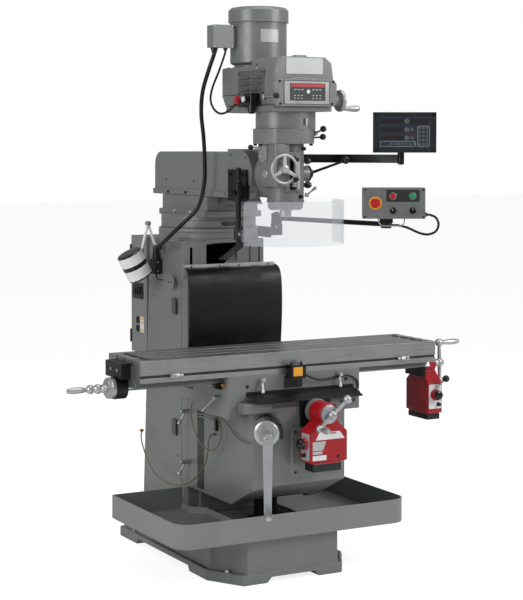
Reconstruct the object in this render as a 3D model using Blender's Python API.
"""Knee-type vertical milling machine with power feeds, readout, guard and lamp.

Built in machine coordinates: the spindle axis stands at x = 0, y = 0, the floor is z = 0,
-Y is the operator's side and X runs along the table. The whole machine is then moved so
that the centre of its footprint is the origin.
"""

import math

import bmesh
import bpy
from mathutils import Matrix, Vector

# ---------------------------------------------------------------- driving dimensions (m)
GAP = 0.0003                      # clearance between pieces that touch or slide

BASE_H = 0.185
BASE_HALF_W = 0.30
BASE_FRONT_Y = -0.065
BASE_REAR_Y = 0.95
FOOT_H = 0.045
FOOT_OUT = 0.02

TRAY_HALF_W = 0.533
TRAY_FRONT_Y = -0.106
TRAY_REAR_Y = 0.55
TRAY_H = 0.10
TRAY_WALL = 0.005
TRAY_CORNER_R = 0.07

COLUMN_HALF_W = 0.20
COLUMN_FRONT_Y = 0.50
COLUMN_TOP_Z = 1.353
COLUMN_WALL = 0.03
COLUMN_RING_R = 0.221
RING_H = 0.052
TURRET_Y = 0.696
WAY_PROUD = 0.05
WAY_HALF_W = 0.165
WAY_TOP_Z = 1.19

TURRET_R = 0.210
SPIGOT_R = 0.08
TURRET_RING_H = 0.06
TURRET_BLOCK_HALF_W = 0.125
RAM_BOTTOM_Z = 1.545
RAM_HALF_W = 0.11
RAM_H = 0.192
RAM_REAR_Y = 1.025
NOD_Y = 0.195
HEAD_AXIS_Z = 1.646
KNUCKLE_R = 0.104
TONGUE_HALF_W = 0.055
PIN_R = 0.02
FLANGE_R = 0.10

QUILL_R = 0.0428
SPINDLE_R = 0.0238
SPLINE_R = 0.012
SOCKET_R = 0.0159
HEAD_BOTTOM_Z = 1.540
HEAD_TOP_Z = 1.772
GEAR_HOUSING_R = 0.122
GEAR_HOUSING_TOP_Z = 1.903
HOUSING_BASE_T = 0.022
HOUSING_HALF_W = 0.137
HOUSING_WALL = 0.007
HOUSING_REAR_TOP_Z = 2.086
HOUSING_FRONT_TOP_Z = 2.118
HOUSING_FRONT_Y = -0.15
HOUSING_REAR_R = 0.151
MOTOR_Y = 0.231
MOTOR_R = 0.1185
MOTOR_TOP_Z = 2.34
SPINDLE_PULLEY_R = 0.064
MOTOR_PULLEY_R = 0.048
BELT_T = 0.008

KNEE_HALF_W = 0.20
KNEE_FRONT_Y = -0.137
KNEE_BOTTOM_Z = 0.295
KNEE_RAIL_HALF_W = 0.262
KNEE_RAIL_T = 0.0397
KNEE_TOP_Z = 0.7427
SCREW_Y = 0.17
ELEVATING_SCREW_R = 0.0195
PEDESTAL_R = 0.05
PEDESTAL_TOP_Z = 0.60
CRANK_ARM = 0.285

SADDLE_HALF_W = 0.306
SADDLE_FRONT_Y = -0.08
SADDLE_REAR_Y = 0.233
SADDLE_TOP_Z = 0.8475

TABLE_HALF_L = 0.686
TABLE_W = 0.305
TABLE_Y = 0.073
TABLE_T = 0.087
DOVETAIL_H = 0.025
SLOT_W = 0.016
SLOT_PITCH = 0.070
X_SCREW_Z = 0.8175
X_SCREW_R = 0.016
Y_SCREW_X = 0.045
Y_SCREW_Z = 0.702
Y_SCREW_R = 0.012

GUARD_R = 0.245
GUARD_T = 0.003
CABLE_D = 0.017
SMALL_CORD_D = 0.009
OIL_LINE_D = 0.006
HOSE_D = 0.010

# places worked out from the sizes above
TABLE_TOP_Z = SADDLE_TOP_Z + GAP + TABLE_T
TURRET_RING_Z = COLUMN_TOP_Z + RING_H + GAP
BLOCK_TOP_Z = RAM_BOTTOM_Z - GAP
HOUSING_Z = GEAR_HOUSING_TOP_Z + HOUSING_BASE_T
COLUMN_BOTTOM_Z = BASE_H + GAP
WAY_FRONT_Y = COLUMN_FRONT_Y - WAY_PROUD
RAIL_BOTTOM_Z = KNEE_TOP_Z - KNEE_RAIL_T

# ---------------------------------------------------------------- materials
COLOURS = {
    "grey_paint": ((0.20, 0.20, 0.20), 0.45, 0.0),
    "bare_steel": ((0.55, 0.55, 0.56), 0.30, 1.0),
    "ground_iron": ((0.42, 0.42, 0.43), 0.35, 1.0),
    "chrome": ((0.80, 0.80, 0.82), 0.10, 1.0),
    "black_oxide": ((0.02, 0.02, 0.02), 0.45, 0.3),
    "black_plastic": ((0.02, 0.02, 0.02), 0.40, 0.0),
    "black_rubber": ((0.015, 0.015, 0.015), 0.70, 0.0),
    "red_paint": ((0.45, 0.01, 0.03), 0.35, 0.0),
    "red_plastic": ((0.60, 0.02, 0.02), 0.35, 0.0),
    "green_plastic": ((0.02, 0.35, 0.08), 0.35, 0.0),
    "brushed_steel": ((0.60, 0.60, 0.60), 0.35, 1.0),
    "clear_plastic": ((0.85, 0.90, 0.92), 0.05, 0.0),
    "white_paint": ((0.75, 0.75, 0.75), 0.40, 0.0),
    "brass": ((0.60, 0.40, 0.15), 0.30, 1.0),
}
SHARP = math.radians(35)
PARTS = {}


def make_material(name):
    if name in bpy.data.materials:
        return bpy.data.materials[name]
    colour, roughness, metallic = COLOURS[name]
    material = bpy.data.materials.new(name)
    material.use_nodes = True
    shader = material.node_tree.nodes["Principled BSDF"]
    shader.inputs["Base Color"].default_value = (*colour, 1.0)
    shader.inputs["Roughness"].default_value = roughness
    shader.inputs["Metallic"].default_value = metallic
    return material


# ---------------------------------------------------------------- shapes
def link(name, mesh_or_curve):
    obj = bpy.data.objects.new(name, mesh_or_curve)
    bpy.context.collection.objects.link(obj)
    obj.parent = MACHINE
    return obj


def shape(bm):
    """A helper solid; it becomes a piece through piece(), or a cutter of one."""
    bmesh.ops.recalc_face_normals(bm, faces=bm.faces)
    mesh = bpy.data.meshes.new("shape")
    bm.to_mesh(mesh)
    bm.free()
    obj = link("shape", mesh)
    obj.hide_render = True
    obj.display_type = "WIRE"
    return obj


def prism(outline, axis, low, high):
    """An outline in the plane across an axis, pushed from low to high along it."""
    place = {
        "X": lambda a, b, t: (t, a, b),
        "Y": lambda a, b, t: (a, t, b),
        "Z": lambda a, b, t: (a, b, t),
    }[axis]
    bm = bmesh.new()
    rings = [[bm.verts.new(place(a, b, t)) for a, b in outline] for t in (low, high)]
    bm.faces.new(rings[0])
    bm.faces.new(rings[1])
    count = len(outline)
    for i in range(count):
        j = (i + 1) % count
        bm.faces.new((rings[0][i], rings[0][j], rings[1][j], rings[1][i]))
    return shape(bm)


def block(low, high, bevel=0.0):
    (x0, y0, z0), (x1, y1, z1) = low, high
    if bevel == 0.0:
        return prism([(x0, y0), (x1, y0), (x1, y1), (x0, y1)], "Z", z0, z1)
    return prism(rounded(x0, y0, x1, y1, bevel, 3), "Z", z0, z1)


def arc(cx, cy, r, start, end, steps):
    """Points on an arc, angles in degrees."""
    angles = [math.radians(start + (end - start) * i / steps) for i in range(steps + 1)]
    return [(cx + r * math.cos(a), cy + r * math.sin(a)) for a in angles]


def rounded(x0, y0, x1, y1, r, steps):
    corners = [(x1 - r, y0 + r, -90), (x1 - r, y1 - r, 0), (x0 + r, y1 - r, 90), (x0 + r, y0 + r, 180)]
    return [p for cx, cy, a in corners for p in arc(cx, cy, r, a, a + 90, steps)]


def turned(origin, axis, profile, sides=24):
    """A profile of (radius, height) turned about an axis through origin."""
    turn = Vector(axis).to_track_quat("Z", "Y").to_matrix().to_4x4()
    place = Matrix.Translation(origin) @ turn
    bm = bmesh.new()
    rings = []
    for r, h in profile:
        if r == 0:
            rings.append([bm.verts.new(place @ Vector((0, 0, h)))])
            continue
        angles = [math.tau * i / sides for i in range(sides)]
        rings.append([bm.verts.new(place @ Vector((r * math.cos(a), r * math.sin(a), h))) for a in angles])
    for low, high in zip(rings, rings[1:]):
        for i in range(sides):
            j = (i + 1) % sides
            corners = [low[i % len(low)], low[j % len(low)], high[j % len(high)], high[i % len(high)]]
            bm.faces.new(list(dict.fromkeys(corners)))
    for ring in (rings[0], rings[-1]):
        if len(ring) > 1:
            bm.faces.new(ring)
    return shape(bm)


def rod(start, end, r, sides=16, end_r=None):
    start, end = Vector(start), Vector(end)
    length = (end - start).length
    return turned(start, end - start, [(r, 0), (r if end_r is None else end_r, length)], sides)


def bore(start, end, r, sides=24):
    """A round hole for a shaft of radius r, its flats clear of the shaft all the way round."""
    return rod(start, end, (r + GAP) / math.cos(math.pi / sides), sides)


def ball(centre, r, sides=12):
    steps = 6
    angles = [math.pi * i / steps - math.pi / 2 for i in range(steps + 1)]
    profile = [(0 if i in (0, steps) else r * math.cos(a), r * math.sin(a)) for i, a in enumerate(angles)]
    return turned(centre, (0, 0, 1), profile, sides)


def sheet(line, thickness, axis, low, high):
    """A sheet that follows an open line, thickened to one side."""
    points = [Vector(p) for p in line]
    other = []
    for i, p in enumerate(points):
        along = points[min(i + 1, len(points) - 1)] - points[max(i - 1, 0)]
        along.normalize()
        other.append(p + Vector((-along.y, along.x)) * thickness)
    return prism([tuple(p) for p in points] + [tuple(p) for p in reversed(other)], axis, low, high)


def boolean(obj, tools, operation):
    for tool in tools:
        modifier = obj.modifiers.new(operation.lower(), "BOOLEAN")
        modifier.operation = operation
        modifier.solver = "EXACT"
        modifier.object = tool
    return obj


def move_origin(obj, point):
    obj.data.transform(Matrix.Translation(-Vector(point)))
    obj.location = point


def piece(name, material, solid, add=(), cut=(), origin=None):
    """Turns a shape into a named piece, with more shapes joined to it and cut from it."""
    obj = solid
    obj.name = name
    obj.data.name = name
    obj.hide_render = False
    obj.display_type = "TEXTURED"
    obj.data.materials.append(make_material(material))
    obj.data.shade_smooth()
    obj.data.set_sharp_from_angle(angle=SHARP)
    if origin is not None:
        move_origin(obj, origin)
    boolean(obj, add, "UNION")
    boolean(obj, cut, "DIFFERENCE")
    PARTS[name] = obj
    return obj


def smooth_path(points, spacing):
    """Straight first and last lengths, and between them a smooth curve through the route."""
    route = [Vector(p) for p in points]
    fine = []
    for a, b, c, d in zip(route, route[1:], route[2:], route[3:]):
        for i in range(16):
            t = i / 16
            fine.append(
                0.5 * ((2 * b) + (c - a) * t + (2 * a - 5 * b + 4 * c - d) * t * t
                       + (3 * b - a - 3 * c + d) * t * t * t)
            )
    fine.append(route[-2])
    total = sum((q - p).length for p, q in zip(fine, fine[1:]))
    count = max(2, round(total / spacing))
    path = [route[0], fine[0]]
    run = 0.0
    for p, q in zip(fine, fine[1:]):
        step = (q - p).length
        while run + step >= total * (len(path) - 1) / count and len(path) <= count:
            path.append(p.lerp(q, (total * (len(path) - 1) / count - run) / step))
        run += step
    return [*path, fine[-1], route[-1]]


def cord(name, material, points, diameter):
    path = smooth_path(points, 3 * diameter)
    curve = bpy.data.curves.new(name, "CURVE")
    curve.dimensions = "3D"
    curve.bevel_depth = diameter / 2
    curve.bevel_resolution = 2
    curve.render_resolution_u = 0
    curve.use_fill_caps = True
    spline = curve.splines.new("POLY")
    spline.points.add(len(path) - 1)
    for point, place in zip(spline.points, path):
        point.co = (*place, 1.0)
    curve.materials.append(make_material(material))
    obj = link(name, curve)
    PARTS[name] = obj
    return obj


# ---------------------------------------------------------------- frame: base, tray, column
def base():
    chamfer_x, chamfer_y = 0.09, 0.155
    def plan(out):
        w, f, r = BASE_HALF_W + out, BASE_FRONT_Y - out / 4, BASE_REAR_Y + out / 4
        return [(-w + chamfer_x, f), (w - chamfer_x, f), (w, f + chamfer_y), (w, r), (-w, r),
                (-w, f + chamfer_y)]
    foot = prism(plan(FOOT_OUT), "Z", 0, FOOT_H)
    wall = 0.03
    arch_half = 0.10
    hollow = block((-BASE_HALF_W + wall, BASE_FRONT_Y + 0.16, -0.01),
                   (BASE_HALF_W - wall, BASE_REAR_Y - wall, BASE_H - wall))
    front_arch = prism([(-arch_half - 0.02, -0.01), (arch_half + 0.02, -0.01), (arch_half + 0.02, 0.0),
                        (arch_half, 0.022),
                        (-arch_half, 0.022), (-arch_half - 0.02, 0.0)], "Y", BASE_FRONT_Y - 0.05,
                       BASE_FRONT_Y + 0.3)
    side_arch = prism([(0.24, -0.01), (0.78, -0.01), (0.76, 0.022), (0.26, 0.022)], "X", -0.4, 0.4)
    return piece("base", "grey_paint", prism(plan(0), "Z", FOOT_H - 0.01, BASE_H), [foot],
                 [hollow, front_arch, side_arch])


def chip_tray():
    low, top = BASE_H + GAP, BASE_H + TRAY_H
    def plan(inset):
        w, f, r = TRAY_HALF_W - inset, TRAY_FRONT_Y + inset, TRAY_REAR_Y - inset
        c = TRAY_CORNER_R - inset
        return ([(-w, r), *arc(-w + c, f + c, c, 180, 270, 6), *arc(w - c, f + c, c, 270, 360, 6), (w, r)])
    opening_half, opening_front, lip = 0.15, SCREW_Y - 0.115, 0.03
    inner = COLUMN_HALF_W + 0.004
    keep = [(-inner, 1), (-inner, COLUMN_FRONT_Y - 0.03), (-opening_half, WAY_FRONT_Y - 0.03),
            (-opening_half, opening_front),
            (opening_half, opening_front), (opening_half, WAY_FRONT_Y - 0.03),
            (inner, COLUMN_FRONT_Y - 0.03), (inner, 1)]
    def grown(t):
        return [(x + math.copysign(t, x), y - t if y < 0.9 else y) for x, y in keep]
    lip_solid = prism([(x, min(y, TRAY_REAR_Y)) for x, y in grown(TRAY_WALL)], "Z", low, low + lip)
    hollow = prism(plan(TRAY_WALL), "Z", low + TRAY_WALL, top + 0.01)
    tray = piece("chip_tray", "grey_paint", prism(plan(0), "Z", low, top), [], [hollow])
    boolean(tray, [lip_solid], "UNION")
    boolean(tray, [prism(keep, "Z", low - 0.01, top + 0.01)], "DIFFERENCE")


def column():
    facet_x, facet_y = 0.09, 0.05
    half, front = COLUMN_HALF_W, COLUMN_FRONT_Y
    rear_low, rear_high = 0.962, 0.885
    side = [(front, COLUMN_BOTTOM_Z), (rear_low, COLUMN_BOTTOM_Z), (rear_high, COLUMN_TOP_Z),
            (front, COLUMN_TOP_Z)]
    body = prism(side, "X", -half, half)
    ring = rod((0, TURRET_Y, COLUMN_TOP_Z - 0.01), (0, TURRET_Y, COLUMN_TOP_Z + RING_H), COLUMN_RING_R, 48)
    way = prism([(-WAY_HALF_W, WAY_FRONT_Y), (WAY_HALF_W, WAY_FRONT_Y), (WAY_HALF_W - 0.025, front + 0.01),
                 (-WAY_HALF_W + 0.025, front + 0.01)], "Z", COLUMN_BOTTOM_Z, WAY_TOP_Z)
    facets = [prism([(s * half - s * facet_x, front - 0.01), (s * half + s * 0.01, front - 0.01),
                     (s * half + s * 0.01, front + facet_y),
                     (s * half, front + facet_y), (s * half - s * facet_x, front)], "Z", WAY_TOP_Z,
                    COLUMN_TOP_Z) for s in (-1, 1)]
    grooves = [block((s * 0.103 - 0.003, front - 0.01, WAY_TOP_Z),
                     (s * 0.103 + 0.003, front + 0.004, COLUMN_TOP_Z - 0.02)) for s in (-1, 1)]
    recess = prism([(-0.044, 1.262), (0.044, 1.262), *arc(0, 1.274, 0.044, 0, 180, 10)], "Y", front - 0.01,
                   front + 0.015)
    hollow = block((-half + COLUMN_WALL, front + COLUMN_WALL, COLUMN_BOTTOM_Z - 0.01),
                   (half - COLUMN_WALL, rear_high - COLUMN_WALL, COLUMN_TOP_Z - COLUMN_WALL))
    spigot = bore((0, TURRET_Y, COLUMN_TOP_Z + RING_H - 0.03), (0, TURRET_Y, COLUMN_TOP_Z + RING_H + 0.01),
                  SPIGOT_R, 32)
    pockets = [block((-half - 0.01, y0, z0), (-half + 0.012, y1, z1)) for y0, y1, z0, z1 in
               ((0.60, 0.64, 1.03, 1.10), (0.60, 0.64, 0.50, 0.57))]
    return piece("column", "grey_paint", body, [ring, way], [*facets, *grooves, recess, hollow, spigot,
                                                             *pockets])


def electrical_cabinet():
    front = 0.9225
    return piece("electrical_cabinet", "grey_paint", block((-COLUMN_HALF_W, front, 0.819),
                                                           (COLUMN_HALF_W, 1.09, 1.352)))


def elevating_pedestal():
    z0 = BASE_H + GAP
    profile = [(0.08, 0), (0.08, 0.02), (PEDESTAL_R, 0.03), (PEDESTAL_R, PEDESTAL_TOP_Z - z0),
               (0.045, PEDESTAL_TOP_Z - z0),
               (0.045, PEDESTAL_TOP_Z - z0 + 0.025)]
    hole = bore((0, SCREW_Y, z0 - 0.01), (0, SCREW_Y, 1.0), ELEVATING_SCREW_R + 0.006)
    pit = bore((0, SCREW_Y, z0 - 0.01), (0, SCREW_Y, z0 + 0.05), ELEVATING_SCREW_R + 0.011)
    return piece("elevating_pedestal", "black_oxide", turned((0, SCREW_Y, z0), (0, 0, 1), profile, 32), [],
                 [hole, pit])


def apron():
    line = [(0.494, 1.243), (0.455, 1.228), (0.436, 1.18), (0.430, 1.08), (0.434, 0.98), (0.443, 0.88),
            (0.4455, 0.80), (0.4455, 0.7445)]
    return piece("apron", "black_rubber", sheet(line, 0.003, "X", -0.225, 0.225))


# ---------------------------------------------------------------- lamp and pendant
LAMP_Y = 0.78


def lamp():
    x = -COLUMN_HALF_W - 0.018
    bracket = block((x - 0.020, LAMP_Y - 0.030, 1.196), (-COLUMN_HALF_W - GAP, LAMP_Y + 0.030, 1.262),
                    0.004)
    cone = turned((x, LAMP_Y, 1.25), (0, 0, 1), [(0.0175, 0), (0.0175, 0.015), (0.012, 0.06)], 24)
    piece("lamp_base", "black_plastic", bracket, [cone])
    top = Vector((x - 0.040, LAMP_Y, 1.42))
    foot = Vector((x, LAMP_Y, 1.3103))
    elbow = Vector((x - 0.070, LAMP_Y, 1.302))
    arm = rod(foot, foot + Vector((0, 0, 0.02)), 0.010, 16)
    others = [rod(foot + Vector((0, 0, 0.012)), top, 0.006, 12), ball(top, 0.012),
              rod(top, elbow, 0.006, 12), ball(elbow, 0.010)]
    piece("lamp_arm", "white_paint", arm, others, origin=foot)
    centre = Vector((x - 0.104, LAMP_Y, 1.238))
    along = Vector((-0.55, -0.15, -0.30)).normalized()
    side = Vector((0.45, 0.0, -0.82)).normalized()
    head_axis = (side - along * side.dot(along)).normalized()
    head = turned(centre - head_axis * 0.0625, head_axis, [(0.050, 0), (0.056, 0.006), (0.056, 0.119),
                                                           (0.050, 0.125)], 28)
    return piece("lamp_head", "white_paint", head, [], [ball(elbow, 0.0105)], origin=elbow)


PENDANT_POST = (0.278, 0.573)
BOX_YAW = math.radians(-30)
BOX_CENTRE = Vector((0.4293, -0.1448, 1.528))
BOX_SIZE = (0.256, 0.10, 0.1265)
ARM_Z = 1.44
ARM_END = Vector((0.405, -0.128, ARM_Z))


def box_point(right, out, z):
    """A place on the control box: right along its front, out of its front face, height."""
    across = Vector((math.cos(BOX_YAW), math.sin(BOX_YAW), 0))
    front = Vector((math.sin(BOX_YAW), -math.cos(BOX_YAW), 0))
    return Vector((BOX_CENTRE.x, BOX_CENTRE.y, z)) + across * right + front * (BOX_SIZE[1] / 2 + out)


def pendant():
    x, y = PENDANT_POST
    face = COLUMN_RING_R + GAP
    plate = block((face, y - 0.03, COLUMN_TOP_Z + 0.004),
                  (face + 0.014, TURRET_Y + 0.01, COLUMN_TOP_Z + RING_H - 0.002))
    arm = block((face + 0.01, y - 0.02, 1.365), (x, y + 0.02, 1.400))
    boss = rod((x, y, 1.365), (x, y, 1.4147), 0.026)
    post = rod((x, y, 1.41), (x, y, 1.468), 0.012)
    piece("pendant_bracket", "black_oxide", plate, [arm, boss, post])
    collar = rod((x, y, 1.415), (x, y, 1.462), 0.024)
    bar = rod((x, y, ARM_Z), ARM_END, 0.0105)
    swivel = rod(ARM_END - Vector((0, 0, 0.016)), ARM_END + Vector((0, 0, 0.0238)), 0.022)
    pin = rod(ARM_END, ARM_END + Vector((0, 0, 0.045)), 0.010)
    piece("pendant_arm", "brushed_steel", collar, [bar, swivel, pin],
          [bore((x, y, 1.40), (x, y, 1.48), 0.012)], origin=(x, y, ARM_Z))
    sx, sy, sz = BOX_SIZE
    case = prism(rounded(-sx / 2, -sy / 2, sx / 2, sy / 2, 0.004, 2), "Z", -sz / 2, sz / 2)
    case.data.transform(Matrix.Translation(BOX_CENTRE) @ Matrix.Rotation(BOX_YAW, 4, "Z"))
    bores = [bore(box_point(r, 0.01, z), box_point(r, -0.02, z), 0.0085) for r, z in BUTTONS.values()]
    socket = bore(ARM_END, ARM_END + Vector((0, 0, 0.050)), 0.010)
    return piece("control_box", "grey_paint", case, [], [*bores, socket],
                 origin=(ARM_END.x, ARM_END.y, BOX_CENTRE.z))


BUTTONS = {"emergency_stop": (-0.0766, 1.529), "stop_button": (-0.0045, 1.5575),
           "start_button": (0.0758, 1.5575)}


def buttons():
    for name, (right, z) in BUTTONS.items():
        big = name == "emergency_stop"
        cap_r, cap_t, stand = (0.0205, 0.013, 0.008) if big else (0.0115, 0.006, 0.0045)
        axis = box_point(right, 1, z) - box_point(right, 0, z)
        stem = 0.010
        profile = [(0.0085, -stem), (0.0085, stand), (cap_r, stand), (cap_r, stand + cap_t * 0.6),
                   (cap_r * 0.8, stand + cap_t)]
        colour = "green_plastic" if name == "start_button" else "red_plastic"
        piece(name, colour, turned(box_point(right, 0, z), axis, profile, 20),
              origin=box_point(right, 0, z))


def pendant_hose():
    swivel = -0.0294
    side = BOX_SIZE[0] / 2 + GAP
    route = [(swivel + 0.0224, 1.436), (0.015, 1.436), (0.055, 1.427), (0.095, 1.409), (0.120, 1.4005),
             (0.145, 1.3985), (0.174, 1.4105), (0.186, 1.4395), (0.174, 1.4685), (0.145, 1.480),
             (side, 1.480)]
    path = [box_point(right, -BOX_SIZE[1] / 2 + 0.0024, z) for right, z in route]
    return cord("pendant_hose", "black_rubber", path, HOSE_D)


# ---------------------------------------------------------------- turret, ram, adapter
def turret():
    z0 = TURRET_RING_Z
    ring = rod((0, TURRET_Y, z0), (0, TURRET_Y, z0 + TURRET_RING_H), TURRET_R, 48)
    body = block((-TURRET_BLOCK_HALF_W, 0.466, z0 + TURRET_RING_H - 0.01),
                 (TURRET_BLOCK_HALF_W, 0.912, BLOCK_TOP_Z))
    skirt = block((-TURRET_BLOCK_HALF_W - 0.012, 0.455, z0 + TURRET_RING_H - 0.01),
                  (TURRET_BLOCK_HALF_W + 0.012, 0.923, 1.482))
    spigot = rod((0, TURRET_Y, z0 - 0.025), (0, TURRET_Y, z0 + 0.01), SPIGOT_R, 32)
    groove = prism([(-0.05 - GAP, BLOCK_TOP_Z + 0.001), (0.05 + GAP, BLOCK_TOP_Z + 0.001),
                    (0.065 + GAP, BLOCK_TOP_Z - 0.03 - GAP),
                    (-0.065 - GAP, BLOCK_TOP_Z - 0.03 - GAP)], "Y", 0.4, 1.0)
    return piece("turret", "grey_paint", ring, [body, skirt, spigot], [groove], origin=(0, TURRET_Y, z0))


def ram():
    top = RAM_BOTTOM_Z + RAM_H
    rear_r = 0.06
    side = [(0.30, RAM_BOTTOM_Z), (RAM_REAR_Y, RAM_BOTTOM_Z),
            *arc(RAM_REAR_Y - rear_r, top - rear_r, rear_r, 0, 90, 6), (0.30, top)]
    knuckle = [(0.302, HEAD_AXIS_Z - KNUCKLE_R + 0.003), (0.302, HEAD_AXIS_Z + KNUCKLE_R),
               *arc(NOD_Y, HEAD_AXIS_Z, KNUCKLE_R, 90, 270, 14)]
    cheeks = prism(knuckle, "X", -RAM_HALF_W, RAM_HALF_W)
    lip = block((-RAM_HALF_W - 0.01, 0.31, RAM_BOTTOM_Z),
                (RAM_HALF_W + 0.01, RAM_REAR_Y, RAM_BOTTOM_Z + 0.025))
    tongue = prism([(-0.05, RAM_BOTTOM_Z + 0.005), (0.05, RAM_BOTTOM_Z + 0.005), (0.05, RAM_BOTTOM_Z),
                    (0.065, RAM_BOTTOM_Z - 0.03),
                    (-0.065, RAM_BOTTOM_Z - 0.03), (-0.05, RAM_BOTTOM_Z)], "Y", 0.31, RAM_REAR_Y - 0.01)
    slot = block((-TONGUE_HALF_W, 0.05, 1.50), (TONGUE_HALF_W, NOD_Y + 0.097, 1.80))
    pin_hole = bore((-0.2, NOD_Y, HEAD_AXIS_Z), (0.2, NOD_Y, HEAD_AXIS_Z), PIN_R)
    hollow = block((-RAM_HALF_W + 0.025, 0.36, RAM_BOTTOM_Z + 0.03),
                   (RAM_HALF_W - 0.025, RAM_REAR_Y + 0.01, RAM_BOTTOM_Z + RAM_H - 0.045))
    return piece("ram", "grey_paint", prism(side, "X", -RAM_HALF_W, RAM_HALF_W), [cheeks, lip, tongue],
                 [slot, pin_hole, hollow],
                 origin=(0, NOD_Y, RAM_BOTTOM_Z))


def ram_adapter():
    r = 0.09
    half = TONGUE_HALF_W - GAP
    tongue = prism([(0.08, HEAD_AXIS_Z - r), *arc(NOD_Y, HEAD_AXIS_Z, r, -90, 90, 12),
                    (0.08, HEAD_AXIS_Z + r)], "X", -half, half)
    flange = turned((0, NOD_Y - KNUCKLE_R - 0.0308, HEAD_AXIS_Z), (0, 1, 0),
                    [(FLANGE_R, 0), (FLANGE_R, 0.024), (FLANGE_R - 0.006, 0.030)], 40)
    pin = rod((-RAM_HALF_W + 0.001, NOD_Y, HEAD_AXIS_Z), (RAM_HALF_W - 0.001, NOD_Y, HEAD_AXIS_Z), PIN_R)
    return piece("ram_adapter", "grey_paint", tongue, [flange, pin], origin=(0, NOD_Y, HEAD_AXIS_Z))


def guard():
    post = Vector((-0.16, 0.107, 0))
    plate = block((-RAM_HALF_W - 0.008, 0.12, 1.535), (-RAM_HALF_W - GAP, 0.283, 1.665))
    arm = block((-0.17, 0.095, 1.545), (-RAM_HALF_W - 0.004, 0.135, 1.60), 0.004)
    bar = rod(post + Vector((0, 0, 1.362)), post + Vector((0, 0, 1.67)), 0.011)
    sleeve = rod(post + Vector((0, 0, 1.535)), post + Vector((0, 0, 1.61)), 0.018)
    piece("guard_post", "black_oxide", plate, [arm, bar, sleeve])
    cx, cy = 0.045, 0.085
    outer = arc(cx, cy, GUARD_R, 197.7, 365, 28)
    inner = arc(cx, cy, GUARD_R - GUARD_T, 365, 197.7, 28)
    screen = prism(outer + inner, "Z", 1.36, 1.54)
    start = Vector((-0.192, 0.011, 0))
    side = (start - post).normalized()
    across = Vector((-side.y, side.x, 0)) * 0.004
    bar_line = [post - across, post + across, start + across, start - across]
    link_bar = prism([(p.x, p.y) for p in bar_line], "Z", 1.385, 1.425)
    collar = rod(post + Vector((0, 0, 1.38)), post + Vector((0, 0, 1.43)), 0.018)
    corner = prism([(-0.3, 1.535), (-0.178, 1.545), (-0.205, 1.50), (-0.3, 1.50)], "Y", -0.1, 0.06)
    return piece("guard_shield", "clear_plastic", screen, [link_bar, collar],
                 [corner, bore(post + Vector((0, 0, 1.3)), post + Vector((0, 0, 1.5)), 0.011)],
                 origin=post + Vector((0, 0, 1.4)))


DISPLAY_YAW = math.radians(-28)
DISPLAY = Vector((0.441, -0.208, 1.818))


def readout():
    start, end = Vector((0.125, 0.345, 1.71)), Vector((0.447, -0.172, 1.71))
    bracket = block((RAM_HALF_W + GAP, 0.315, 1.685), (RAM_HALF_W + 0.02, 0.375, 1.735))
    along = (end - start).normalized()
    across = Vector((-along.y, along.x, 0)) * 0.005
    bar = prism([((start - across).x, (start - across).y), ((start + across).x, (start + across).y),
                 ((end + across).x, (end + across).y), ((end - across).x, (end - across).y)], "Z", 1.6925,
                1.7275)
    post = rod((end.x, end.y, 1.688), (end.x, end.y, 1.7350), 0.014)
    pin = rod((end.x, end.y, 1.72), (end.x, end.y, 1.76), 0.007, 16)
    piece("dro_arm", "black_oxide", bracket, [bar, post, pin])
    case = prism(rounded(-0.128, -0.025, 0.128, 0.025, 0.004, 2), "Z", -0.0825, 0.0825)
    case.data.transform(Matrix.Translation(DISPLAY) @ Matrix.Rotation(DISPLAY_YAW, 4, "Z"))
    return piece("dro_display", "black_plastic", case, [],
                 [bore((end.x, end.y, 1.7), (end.x, end.y, 1.765), 0.007)],
                 origin=(end.x, end.y, DISPLAY.z))


# ---------------------------------------------------------------- head
def head_casting():
    top = HEAD_TOP_Z - GAP
    body = rod((0, 0, HEAD_BOTTOM_Z - 0.005), (0, 0, top), 0.075, 40)
    nose = rod((0, 0, 1.510), (0, 0, HEAD_BOTTOM_Z), 0.0715, 40)
    side = block((-0.104, -0.105, 1.60), (-0.035, 0.03, top), 0.012)
    back = block((-0.075, 0.0, 1.56), (0.075, 0.050, top))
    front = block((-0.045, -0.085, 1.58), (0.022, 0.0, 1.74), 0.005)
    flange_y = NOD_Y - KNUCKLE_R - 0.0308 - GAP
    flange = rod((0, 0.03, HEAD_AXIS_Z), (0, flange_y, HEAD_AXIS_Z), FLANGE_R, 40)
    pinion = rod((0.05, 0, 1.65), (0.100, 0, 1.65), 0.032, 28)
    behind = block((-0.2, flange_y, 1.4), (0.2, 0.3, 1.8))
    hole = bore((0, 0, 1.4), (0, 0, 1.9), QUILL_R, 40)
    return piece("head_casting", "grey_paint", body, [nose, side, back, front, flange, pinion],
                 [hole, behind], origin=(0, 0, HEAD_AXIS_Z))


def quill_and_spindle():
    sleeve = rod((0, 0, 1.502), (0, 0, 1.762), QUILL_R, 40)
    piece("quill", "bare_steel", sleeve, [], [bore((0, 0, 1.4), (0, 0, 1.9), SPINDLE_R, 32)])
    body = turned((0, 0, 1.475), (0, 0, 1), [(SPINDLE_R - 0.001, 0), (SPINDLE_R, 0.002),
                                             (SPINDLE_R, 0.288)], 32)
    socket = turned((0, 0, 1.47), (0, 0, 1), [(SOCKET_R, 0), (SPLINE_R, 0.095)], 24)
    piece("spindle", "chrome", body, [], [socket, bore((0, 0, 1.55), (0, 0, 1.9), SPLINE_R)])


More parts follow.
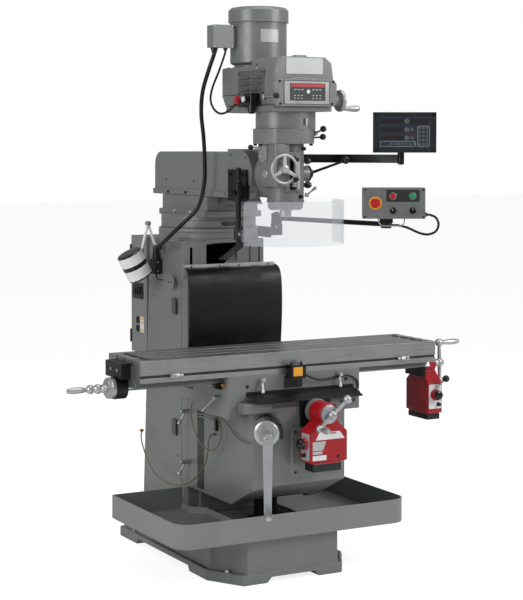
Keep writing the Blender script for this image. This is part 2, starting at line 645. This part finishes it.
def gear_housing():
    z1 = HEAD_TOP_Z + 0.061
    plan = [(-0.134, 0.03), (-0.134, -0.03), (-0.096, -0.095), (-0.036, -0.122), (0.045, -0.118),
            (0.085, -0.085), (0.118, -0.02),
            (0.118, 0.05), (0.085, 0.090), (-0.10, 0.090)]
    drum = rod((0, 0, z1 - 0.005), (0, 0, GEAR_HOUSING_TOP_Z), GEAR_HOUSING_R, 48)
    w = HOUSING_HALF_W - 0.002
    plate_plan = [(-w, HOUSING_FRONT_Y + 0.01), (w, HOUSING_FRONT_Y + 0.01),
                  *arc(0, MOTOR_Y, w, 0, 180, 18)]
    plate = prism(plate_plan, "Z", GEAR_HOUSING_TOP_Z - 0.002, HOUSING_Z)
    hole = rod((0, 0, 1.7), (0, 0, 2.0), 0.025)
    return piece("gear_housing", "grey_paint", prism(plan, "Z", HEAD_TOP_Z, z1), [drum, plate], [hole])


def belt_housing():
    z0 = HOUSING_Z + GAP
    w, front, z_bevel = HOUSING_HALF_W, HOUSING_FRONT_Y, 1.971
    section = [(-w + 0.012, z0), (w - 0.012, z0), (w, z_bevel), (w, 2.035), (w - 0.009, 2.096),
               (0.10, HOUSING_FRONT_TOP_Z),
               (-0.10, HOUSING_FRONT_TOP_Z), (-w + 0.009, 2.096), (-w, 2.035), (-w, z_bevel)]
    fore = prism(section, "Y", front, 0.06)
    def plan(grow):
        r = HOUSING_REAR_R + grow
        lean = math.degrees(math.acos(min(1.0, (w + grow) / r)))
        return [(-w - grow, 0.0), (w + grow, 0.0), *arc(0, MOTOR_Y, r, lean, 180 - lean, 22)]
    rear = prism(plan(0), "Z", z_bevel - 0.001, HOUSING_REAR_TOP_Z)
    bm = bmesh.new()
    rings = [[bm.verts.new((x, y, z)) for x, y in plan(g)] for g, z in ((-0.014, z0), (0, z_bevel))]
    bm.faces.new(rings[0])
    bm.faces.new(rings[1])
    for i in range(len(rings[0])):
        j = (i + 1) % len(rings[0])
        bm.faces.new((rings[0][i], rings[0][j], rings[1][j], rings[1][i]))
    skirt = shape(bm)
    hump = rod((0.0, front + 0.04, HOUSING_FRONT_TOP_Z - 0.01),
               (0.0, front + 0.04, HOUSING_FRONT_TOP_Z + 0.008), 0.03)
    boss = rod((0.12, -0.11, 1.946), (0.163, -0.11, 1.946), 0.019)
    t = HOUSING_WALL + 0.014
    inner_w = w - t
    cavity = prism([(-inner_w, front + t), (inner_w, front + t), *arc(0, MOTOR_Y, inner_w, 0, 180, 18)],
                   "Z", z0 - 0.01, 2.07)
    motor_hole = rod((0, MOTOR_Y, 2.0), (0, MOTOR_Y, 2.2), 0.03)
    shaft_hole = bore((0.10, -0.11, 1.946), (0.17, -0.11, 1.946), 0.009)
    return piece("belt_housing", "grey_paint", fore, [rear, skirt, hump, boss],
                 [cavity, motor_hole, shaft_hole])


def speed_cover():
    y1 = HOUSING_FRONT_Y - GAP
    outline = [(-0.134, 1.921), (0.134, 1.921), (0.145, 1.935), (0.145, 2.012), (0.13, 2.029),
               *arc(0, 1.83, 0.208, 72, 108, 6), (-0.13, 2.029),
               (-0.145, 2.012), (-0.145, 1.935)]
    bezel = prism(outline, "Y", y1 - 0.0132, y1)
    recess = prism([(-0.10, 1.928), (0.11, 1.928), (0.11, 2.022), (-0.10, 2.022)], "Y", y1 - 0.02,
                   y1 - 0.0105)
    return piece("speed_cover", "grey_paint", bezel, [], [recess])


def motor():
    z0 = HOUSING_REAR_TOP_Z + GAP
    at = (0, MOTOR_Y, 0)
    r = MOTOR_R
    profile = [(0.10, z0), (0.10, 2.098), (r - 0.004, 2.104), (r, 2.108), (r, 2.275), (r + 0.0075, 2.277),
               (r + 0.0075, MOTOR_TOP_Z - 0.014),
               (r - 0.004, MOTOR_TOP_Z - 0.003), (r - 0.02, MOTOR_TOP_Z)]
    box = block((-0.228, 0.20, 2.168), (-0.135, 0.26, 2.260), 0.006)
    neck = block((-0.14, 0.21, 2.178), (-0.10, 0.25, 2.248))
    hole = bore((0, MOTOR_Y, 2.0), (0, MOTOR_Y, 2.13), 0.009)
    return piece("motor", "grey_paint", turned(at, (0, 0, 1), profile, 40), [box, neck], [hole])


def pulley_profile(shaft_low, shaft_high, shaft_r, low, high, r):
    t = 0.008
    return [(shaft_r, shaft_low), (shaft_r, low), (r + 0.011, low), (r + 0.011, low + t), (r, low + t),
            (r, high - t),
            (r + 0.011, high - t), (r + 0.011, high), (shaft_r, high), (shaft_r, shaft_high)]


def belt_drive():
    low, high = 1.96, 2.035
    piece("spindle_pulley", "bare_steel",
          turned((0, 0, 0), (0, 0, 1), pulley_profile(1.60, 2.045, SPLINE_R, low, high, SPINDLE_PULLEY_R),
                 28))
    piece("motor_pulley", "bare_steel", turned((0, MOTOR_Y, 0), (0, 0, 1),
                                               pulley_profile(1.945, 2.12, 0.009, low, high,
                                                              MOTOR_PULLEY_R), 28),
          origin=(0, MOTOR_Y, low))
    lean = math.degrees(math.asin((SPINDLE_PULLEY_R - MOTOR_PULLEY_R) / MOTOR_Y))

    def loop(grow):
        a, b = SPINDLE_PULLEY_R + grow, MOTOR_PULLEY_R + grow
        return [*arc(0, 0, a, 180 - lean, 360 + lean, 20), *arc(0, MOTOR_Y, b, lean, 180 - lean, 18)]
    inner = prism(loop(GAP), "Z", low, high)
    t = 0.0085
    piece("drive_belt", "black_rubber", prism(loop(GAP + BELT_T), "Z", low + t, high - t), [], [inner])


def speed_handwheel():
    at = Vector((0.1633, -0.11, 1.946))
    profile = [(0.009, -0.02), (0.009, 0), (0.022, 0), (0.022, 0.018), (0.038, 0.020), (0.044, 0.023),
               (0.044, 0.034), (0.038, 0.037), (0.014, 0.034)]
    grip = turned(at + Vector((0.03, 0, -0.031)), (1, 0, 0), [(0.006, 0), (0.006, 0.02), (0.011, 0.024),
                                                              (0.013, 0.075), (0.008, 0.093)], 16)
    return piece("speed_handwheel", "bare_steel", turned(at, (1, 0, 0), profile, 32), [grip], origin=at)


def ball_lever(name, material, hub, axis, end, hub_r, hub_len, arm_r, ball_r):
    """A lever: a hub on its axis, an arm, and a ball at its end."""
    hub, end, axis = Vector(hub), Vector(end), Vector(axis).normalized()
    middle = hub + axis * hub_len / 2
    return piece(name, material, rod(hub, hub + axis * hub_len, hub_r, 20),
                 [rod(middle, end, arm_r, 12), ball(end, ball_r)], origin=hub)


def head_controls():
    ball_lever("range_lever", "black_plastic", (0.1183, -0.03, 1.815), (1, 0, 0), (0.128, -0.085, 1.832),
               0.010, 0.012, 0.004, 0.013)
    ball_lever("brake_lever", "black_plastic", (0.1183, 0.02, 1.795), (1, 0, 0), (0.150, -0.045, 1.800),
               0.010, 0.012, 0.004, 0.013)
    hub = Vector((0.1003, 0, 1.65))
    teeth = rod(hub, hub + Vector((0.006, 0, 0)), 0.034, 28)
    end = Vector((0.227, -0.10, 1.704))
    parts = [rod(hub, hub + Vector((0.022, 0, 0)), 0.020, 20),
             rod(hub + Vector((0.012, 0, 0)), end, 0.0055, 12), ball(end, 0.0155)]
    piece("quill_feed_lever", "bare_steel", teeth, parts, origin=hub)
    ball_lever("quill_lock_lever", "bare_steel", (0.0755, -0.028, 1.563), (1, -0.35, 0),
               (0.104, -0.062, 1.592), 0.009, 0.016, 0.004, 0.007)
    at = Vector((-0.074, -0.1053, 1.671))
    profile = [(0.020, 0), (0.020, 0.012), (0.012, 0.014), (0.012, 0.030)]
    spokes = [rod(at + Vector((0, -0.022, 0)),
                  at + Vector((0.057 * math.cos(a), -0.019, 0.057 * math.sin(a))), 0.004, 8)
              for a in (math.radians(90 + 120 * i) for i in range(3))]
    rim = turned(at, (0, -1, 0), [(0.0625, 0.012), (0.0625, 0.024)], 32)
    hole = turned(at, (0, -1, 0), [(0.0535, 0.002), (0.0535, 0.030)], 32)
    boolean(rim, [hole], "DIFFERENCE")
    grip = rod(at + Vector((0.040, -0.020, -0.040)), at + Vector((0.040, -0.058, -0.040)), 0.008, 12)
    piece("fine_feed_handwheel", "bare_steel", turned(at, (0, -1, 0), profile, 24), [rim, *spokes, grip],
          origin=at)
    stop = rod((-0.012, -0.0953, 1.585), (-0.012, -0.0953, 1.72), 0.007, 16)
    nut = turned((-0.012, -0.0953, 1.60), (0, 0, 1), [(0.0095, 0), (0.0095, 0.018)], 20)
    plate = block((-0.030, -0.1003, 1.70), (0.006, -0.0853, 1.715))
    piece("depth_stop", "black_oxide", stop, [nut, plate])
    x = -HOUSING_HALF_W - GAP
    regulator = block((-0.180, -0.035, 1.926), (x, 0.03, 1.975), 0.006)
    valve = turned((-0.16, 0.02, 1.938), (0, 1, 0), [(0.012, 0), (0.018, 0.012), (0.018, 0.08)], 20)
    knob = turned((-0.178, 0.0, 1.95), (-1, 0, 0), [(0.013, 0), (0.013, 0.014)], 16)
    bowl = turned((-0.158, -0.002, 1.93), (0, 0, -1), [(0.016, 0), (0.016, 0.03), (0.008, 0.038)], 16)
    piece("drawbar_valve", "black_plastic", regulator, [valve, knob, bowl])


def head_cords():
    cable_end = -COLUMN_HALF_W - GAP
    out = cable_end - 0.052
    route = [(-0.205, 0.235, 2.168 - GAP), (-0.205, 0.235, 2.145), (-0.222, 0.25, 2.08),
             (-0.226, 0.30, 1.99), (-0.208, 0.35, 1.90),
             (-0.185, 0.375, 1.80), (-0.172, 0.39, 1.70), (-0.170, 0.40, 1.60), (-0.185, 0.43, 1.50),
             (out + 0.037, 0.475, 1.43),
             (out + 0.014, 0.53, 1.385), (out, 0.59, 1.345), (out, 0.65, 1.322),
             (out + 0.008, 0.695, 1.318),
             (out + 0.032, 0.72, 1.320), (cable_end, 0.72, 1.320)]
    cord("motor_cable", "black_rubber", route, CABLE_D)
    small = [(-0.165, 0.213, 2.168 - GAP), (-0.165, 0.213, 2.15), (-0.195, 0.205, 2.08),
             (-0.232, 0.20, 2.00), (-0.245, 0.190, 1.95),
             (-0.236, 0.175, 1.912), (-0.212, 0.165, 1.895), (-0.185, 0.150, 1.905), (-0.165, 0.130, 1.930),
             (-0.16, 0.115, 1.938), (-0.16, 0.1003, 1.938)]
    cord("valve_cord", "black_rubber", small, SMALL_CORD_D)


# ---------------------------------------------------------------- knee
CRANK_TURN = math.radians(27)
CRANK_DIR = Vector((-math.sin(CRANK_TURN), -math.cos(CRANK_TURN), 0))
CRANK_AT = Vector((-0.151, -0.112, 0.63))


def knee():
    f, half, low, rail = KNEE_FRONT_Y, KNEE_HALF_W, KNEE_BOTTOM_Z, RAIL_BOTTOM_Z
    rear = COLUMN_FRONT_Y - GAP
    side = [(rear, low), (0.10, low), (f, 0.408), (f, rail + 0.002), (rear, rail + 0.002)]
    body = prism(side, "X", -half, half)
    plate = block((-KNEE_RAIL_HALF_W, f, rail), (KNEE_RAIL_HALF_W, rear, KNEE_TOP_Z))
    corner = prism([(-half - 0.01, f - 0.01), (-0.082, f - 0.01), (-0.102, f), (-half, f + 0.05),
                    (-half - 0.01, f + 0.055)], "Z", low - 0.1, rail)
    panel = block((-0.05, f - 0.006, 0.44), (half - 0.012, f + 0.01, 0.634))
    boss = rod(CRANK_AT - CRANK_DIR * 0.02, CRANK_AT + CRANK_DIR * 0.045, 0.06, 36)
    g = GAP
    slot = prism([(-WAY_HALF_W - g, WAY_FRONT_Y - g), (WAY_HALF_W + g, WAY_FRONT_Y - g),
                  (WAY_HALF_W - 0.025 + g, rear + 0.01),
                  (-WAY_HALF_W + 0.025 - g, rear + 0.01)], "Z", low - 0.1, KNEE_TOP_Z + 0.1)
    cavity = block((-0.15, 0.06, low - 0.1), (0.15, WAY_FRONT_Y - 0.06, 0.652))
    top_hole = bore((0, SCREW_Y, 0.6), (0, SCREW_Y, 0.682), ELEVATING_SCREW_R)
    y_hole = bore((Y_SCREW_X, f - 0.1, Y_SCREW_Z), (Y_SCREW_X, 0.32, Y_SCREW_Z), Y_SCREW_R)
    crank_hole = bore(CRANK_AT, CRANK_AT + CRANK_DIR * 0.1, 0.012)
    boolean(body, [corner], "DIFFERENCE")
    return piece("knee", "grey_paint", body, [plate, panel, boss],
                 [slot, cavity, top_hole, y_hole, crank_hole])


def elevating_screw():
    return piece("elevating_screw", "bare_steel", rod((0, SCREW_Y, BASE_H + 0.027), (0, SCREW_Y, 0.6815),
                                                      ELEVATING_SCREW_R, 24),
                 origin=(0, SCREW_Y, 0.68))


def knee_crank():
    d = CRANK_DIR
    at = CRANK_AT + d * (0.045 + GAP)
    profile = [(0.012, -0.035), (0.012, 0), (0.051, 0), (0.051, 0.028), (0.044, 0.034), (0.025, 0.036),
               (0.022, 0.125), (0.016, 0.160)]
    hub = CRANK_AT + d * 0.195
    across = Vector((-d.y, d.x, 0))
    bm = bmesh.new()
    corners = [(-0.018, 0.022), (0.018, 0.022), (0.018, -CRANK_ARM), (0.010, -CRANK_ARM - 0.018),
               (-0.010, -CRANK_ARM - 0.018), (-0.018, -CRANK_ARM)]
    rings = [[bm.verts.new(hub + d * t + across * a + Vector((0, 0, b))) for a, b in corners]
             for t in (-0.006, 0.006)]
    bm.faces.new(rings[0])
    bm.faces.new(rings[1])
    for i in range(len(corners)):
        j = (i + 1) % len(corners)
        bm.faces.new((rings[0][i], rings[0][j], rings[1][j], rings[1][i]))
    grip_at = hub + Vector((0, 0, -CRANK_ARM)) + d * 0.004
    grip = turned(grip_at, d, [(0.007, 0), (0.007, 0.012), (0.014, 0.018), (0.016, 0.045), (0.011, 0.085),
                               (0.013, 0.105), (0.007, 0.112)], 12)
    return piece("knee_crank", "bare_steel", turned(at, d, profile), [shape(bm), grip], origin=at)


def knee_locks():
    for name, z in (("knee_lock_upper", 0.627), ("knee_lock_lower", 0.409)):
        hub = Vector((-KNEE_HALF_W - GAP, 0.475, z))
        ball_lever(name, "bare_steel", hub, (-1, 0, 0), hub + Vector((-0.055, 0.0, -0.050)), 0.009, 0.045,
                   0.0045, 0.0075)


def feed_unit_outline(centre, bottom, shoulder, half, ring_r, screw):
    """A power feed seen along its screw: a ring about the screw, sloping shoulders and a box."""
    a = math.degrees(math.asin(0.6))
    ring = arc(centre, screw, ring_r, -a, 180 + a, 20)
    return [(centre - half, bottom), (centre + half, bottom), (centre + half, shoulder), *ring,
            (centre - half, shoulder)]


def y_power_feed():
    f = KNEE_FRONT_Y - GAP
    x, z = Y_SCREW_X, Y_SCREW_Z
    outline = feed_unit_outline(x, 0.513, 0.631, 0.0845, 0.046, z)
    body = prism(outline, "Y", -0.272, -0.192)
    cap = block((x - 0.068, -0.266, 0.474), (x + 0.060, -0.198, 0.52), 0.004)
    plate = block((-0.012, f - 0.014, 0.640), (0.124, f, 0.741))
    tube = rod((x, f - 0.005, z), (x, -0.2, z), 0.036, 28)
    hole = bore((x, 0, z), (x, -0.4, z), Y_SCREW_R)
    knob = turned((x - 0.0845, -0.232, 0.585), (-1, 0, 0), [(0.014, -0.002), (0.014, 0.008), (0.020, 0.010),
                                                            (0.018, 0.030)], 20)
    return piece("y_power_feed", "red_paint", body, [cap, plate, tube, knob], [hole])


def ball_crank(at, axis, arm, long_end, grip_length, dial_r, stem):
    """Shapes of a ball crank: hub, arm with a ball at each end and a turned grip."""
    at, axis, arm = Vector(at), Vector(axis), Vector(arm)
    ends = (at + arm, at - arm * 0.87)
    grip_at = ends[0 if long_end else 1]
    grip = turned(grip_at, axis, [(0.006, 0), (0.006, 0.014), (0.009, 0.02), (0.013, 0.045),
                                  (0.008, grip_length)], 12)
    return [ball(at, 0.019), rod(ends[0], ends[1], 0.0075, 12), ball(ends[0], 0.018), ball(ends[1], 0.015),
            grip,
            turned(at - axis * stem, axis, [(dial_r, 0), (dial_r, 0.012), (0.016, 0.014), (0.014, stem)],
                   20)]


def y_crank():
    x, z = Y_SCREW_X, Y_SCREW_Z
    screw = rod((x, 0.30, z), (x, -0.30, z), Y_SCREW_R, 16)
    tilt = math.radians(40)
    arm = Vector((math.cos(tilt), 0, math.sin(tilt))) * 0.089
    parts = ball_crank((x, -0.300, z), (0, -1, 0), arm, False, 0.072, 0.033, 0.027)
    return piece("y_crank", "bare_steel", screw, parts, origin=(x, -0.300, z))


# ---------------------------------------------------------------- saddle and table
def saddle():
    f, r, half, top = SADDLE_FRONT_Y, SADDLE_REAR_Y, SADDLE_HALF_W, SADDLE_TOP_Z
    low = KNEE_TOP_Z + GAP
    body = block((-half, f, low), (half, r, top))
    inner = KNEE_RAIL_HALF_W + GAP
    skirts = [prism([(s * inner, low + 0.01), (s * half, low + 0.01), (s * half, 0.68), (s * 0.218, 0.68),
                     (s * 0.218, RAIL_BOTTOM_Z - GAP),
                     (s * inner, RAIL_BOTTOM_Z - GAP)], "Y", f, r) for s in (-1, 1)]
    g = GAP
    z0 = top - DOVETAIL_H - g
    w0, w1 = 0.115 + 3 * g, 0.10 + 3 * g
    slot = prism([(TABLE_Y - w0, z0), (TABLE_Y + w0, z0), (TABLE_Y + w1, top + 0.001),
                  (TABLE_Y - w1, top + 0.001)],
                 "X", -half - 0.01, half + 0.01)
    channel = block((-half - 0.01, TABLE_Y - 0.022, X_SCREW_Z - 0.021), (half + 0.01, TABLE_Y + 0.022, top))
    return piece("saddle", "grey_paint", body, skirts, [slot, channel])


def table():
    low, top = SADDLE_TOP_Z + GAP, TABLE_TOP_Z
    f, r, y = TABLE_Y - TABLE_W / 2, TABLE_Y + TABLE_W / 2, TABLE_Y
    z0 = low - DOVETAIL_H
    groove_z = top - 0.057
    outline = [(f, low), (f, groove_z - 0.011), (f + 0.006, groove_z - 0.011), (f + 0.006, groove_z),
               (f, groove_z), (f, top)]
    for k in (-1, 0, 1):
        c, n, w = y + k * SLOT_PITCH, SLOT_W / 2, 0.0135
        outline += [(c - n, top), (c - n, top - 0.018), (c - w, top - 0.018), (c - w, top - 0.030),
                    (c + w, top - 0.030), (c + w, top - 0.018),
                    (c + n, top - 0.018), (c + n, top)]
    channel = X_SCREW_Z + X_SCREW_R + 0.005
    outline += [(r, top), (r, low), (y + 0.10, low), (y + 0.115, z0), (y + 0.022, z0), (y + 0.022, channel),
                (y - 0.022, channel),
                (y - 0.022, z0), (y - 0.115, z0), (y - 0.10, low)]
    troughs = [block((s * (TABLE_HALF_L - 0.05) - 0.014, f + 0.03, top - 0.022),
                     (s * (TABLE_HALF_L - 0.05) + 0.014, r - 0.03, top + 0.01)) for s in (-1, 1)]
    return piece("table", "ground_iron", prism(outline, "X", -TABLE_HALF_L, TABLE_HALF_L), [], troughs)


def table_ends():
    x, y, z = TABLE_HALF_L + GAP, TABLE_Y, X_SCREW_Z
    hole = bore((-1, y, z), (-0.5, y, z), X_SCREW_R)
    upper = block((-x - 0.040, 0.01, 0.856), (-x, 0.165, 0.918))
    bearing = rod((-x, y, z), (-x - 0.047, y, z), 0.045, 32)
    piece("left_end_bracket", "black_oxide", upper, [bearing], [hole])
    outline = feed_unit_outline(y, 0.614, 0.745, 0.0855, 0.042, z)
    body = prism(outline, "X", x + 0.0107, x + 0.0817)
    plate = block((x, 0.01, 0.770), (x + 0.0137, 0.150, 0.915))
    cap = block((x + 0.0137, y - 0.072, 0.585), (x + 0.0787, y + 0.072, 0.62), 0.004)
    knob = turned((x + 0.0417, y - 0.0855, 0.690), (0, -1, 0), [(0.014, -0.002), (0.014, 0.008),
                                                                (0.020, 0.010), (0.018, 0.030)], 20)
    right_hole = bore((0.5, y, z), (1, y, z), X_SCREW_R)
    piece("x_power_feed", "red_paint", body, [plate, cap, knob], [right_hole])


def x_leadscrew():
    y, z = TABLE_Y, X_SCREW_Z
    left, right = -TABLE_HALF_L - 0.047 - 2 * GAP, TABLE_HALF_L + 0.082 + GAP
    screw = rod((left - 0.03, y, z), (right + 0.03, y, z), X_SCREW_R, 16)
    dial = turned((left, y, z), (-1, 0, 0), [(0.042, 0), (0.042, 0.024), (0.034, 0.030), (0.020, 0.032),
                                             (0.016, 0.060)])
    arm = Vector((0, 0.075, -0.012))
    left_parts = ball_crank((left - 0.065, y, z), (-1, 0, 0), arm, True, 0.10, 0.020, 0.02)
    up = Vector((-0.02, 0, 1)).normalized() * 0.087
    right_parts = ball_crank((right + 0.045, y, z), (1, 0, 0), up, True, 0.105, 0.024, 0.04)
    return piece("x_leadscrew", "bare_steel", screw, [dial, *left_parts, *right_parts], origin=(0, y, z))


def table_locks():
    for name, x in (("table_lock_left", -0.158), ("table_lock_right", 0.203)):
        hub = Vector((x, SADDLE_FRONT_Y - GAP, 0.829))
        ball_lever(name, "bare_steel", hub, (0, -1, 0), hub + Vector((-0.006, -0.030, -0.048)), 0.010,
                   0.028, 0.0045, 0.0075)


def way_cover():
    y = SADDLE_FRONT_Y - 0.0045
    line = [(y, 0.772), (y - 0.025, 0.768), (y - 0.055, 0.759), (y - 0.080, 0.7465)]
    return piece("way_cover", "black_rubber", sheet(line, 0.003, "X", -0.22, 0.27))


def oil_lines():
    x, wall = -KNEE_HALF_W, -COLUMN_HALF_W
    rear = SADDLE_REAR_Y + GAP
    upper = [(-0.285, rear, 0.712), (-0.285, rear + 0.022, 0.712), (-0.281, 0.295, 0.692),
             (-0.274, 0.318, 0.640), (-0.266, 0.305, 0.580),
             (-0.258, 0.262, 0.528), (-0.248, 0.205, 0.507), (-0.238, 0.150, 0.528), (-0.232, 0.122, 0.585),
             (-0.230, 0.145, 0.633),
             (-0.228, 0.190, 0.650), (-0.214, 0.225, 0.648), (x - GAP, 0.225, 0.648)]
    cord("saddle_oil_line", "brass", upper, OIL_LINE_D)
    lower = [(x - GAP, 0.240, 0.562), (x - 0.014, 0.240, 0.562), (x - 0.026, 0.241, 0.552),
             (x - 0.031, 0.244, 0.530), (x - 0.030, 0.250, 0.490), (x - 0.029, 0.280, 0.430),
             (x - 0.032, 0.34, 0.375), (x - 0.040, 0.43, 0.325), (wall - 0.045, 0.54, 0.300),
             (wall - 0.045, 0.64, 0.296), (wall - 0.042, 0.74, 0.310), (wall - 0.036, 0.83, 0.350),
             (wall - 0.032, 0.885, 0.395), (wall - 0.031, 0.915, 0.435), (wall - 0.026, 0.925, 0.463),
             (wall - 0.015, 0.925, 0.475), (wall - GAP, 0.925, 0.475)]
    cord("column_oil_line", "brass", lower, OIL_LINE_D)


# ---------------------------------------------------------------- the whole machine
def centre_on_footprint():
    """Moves the machine so that the bottom centre of its box is the origin."""
    bpy.context.view_layer.update()
    graph = bpy.context.evaluated_depsgraph_get()
    corners = []
    for name, obj in PARTS.items():
        if name in CORDS:
            continue
        solid = obj.evaluated_get(graph)
        corners += [solid.matrix_world @ v.co for v in solid.to_mesh().vertices]
        solid.to_mesh_clear()
    low = [min(c[k] for c in corners) for k in range(3)]
    high = [max(c[k] for c in corners) for k in range(3)]
    MACHINE.location = (-(low[0] + high[0]) / 2, -(low[1] + high[1]) / 2, -low[2])


CORDS = ("motor_cable", "valve_cord", "pendant_hose", "saddle_oil_line", "column_oil_line")

for old in list(bpy.data.objects):
    bpy.data.objects.remove(old, do_unlink=True)
MACHINE = bpy.data.objects.new("machine_centre", None)
bpy.context.collection.objects.link(MACHINE)

for build in (base, chip_tray, column, electrical_cabinet, elevating_pedestal, apron, lamp, pendant,
              buttons, pendant_hose, turret, ram, ram_adapter, guard, readout, head_casting,
              quill_and_spindle, gear_housing, belt_housing, speed_cover, motor, belt_drive,
              speed_handwheel, head_controls, head_cords, knee, elevating_screw, knee_crank, knee_locks,
              y_power_feed, y_crank, saddle, table,
              table_ends, x_leadscrew, table_locks, way_cover, oil_lines):
    build()
centre_on_footprint()
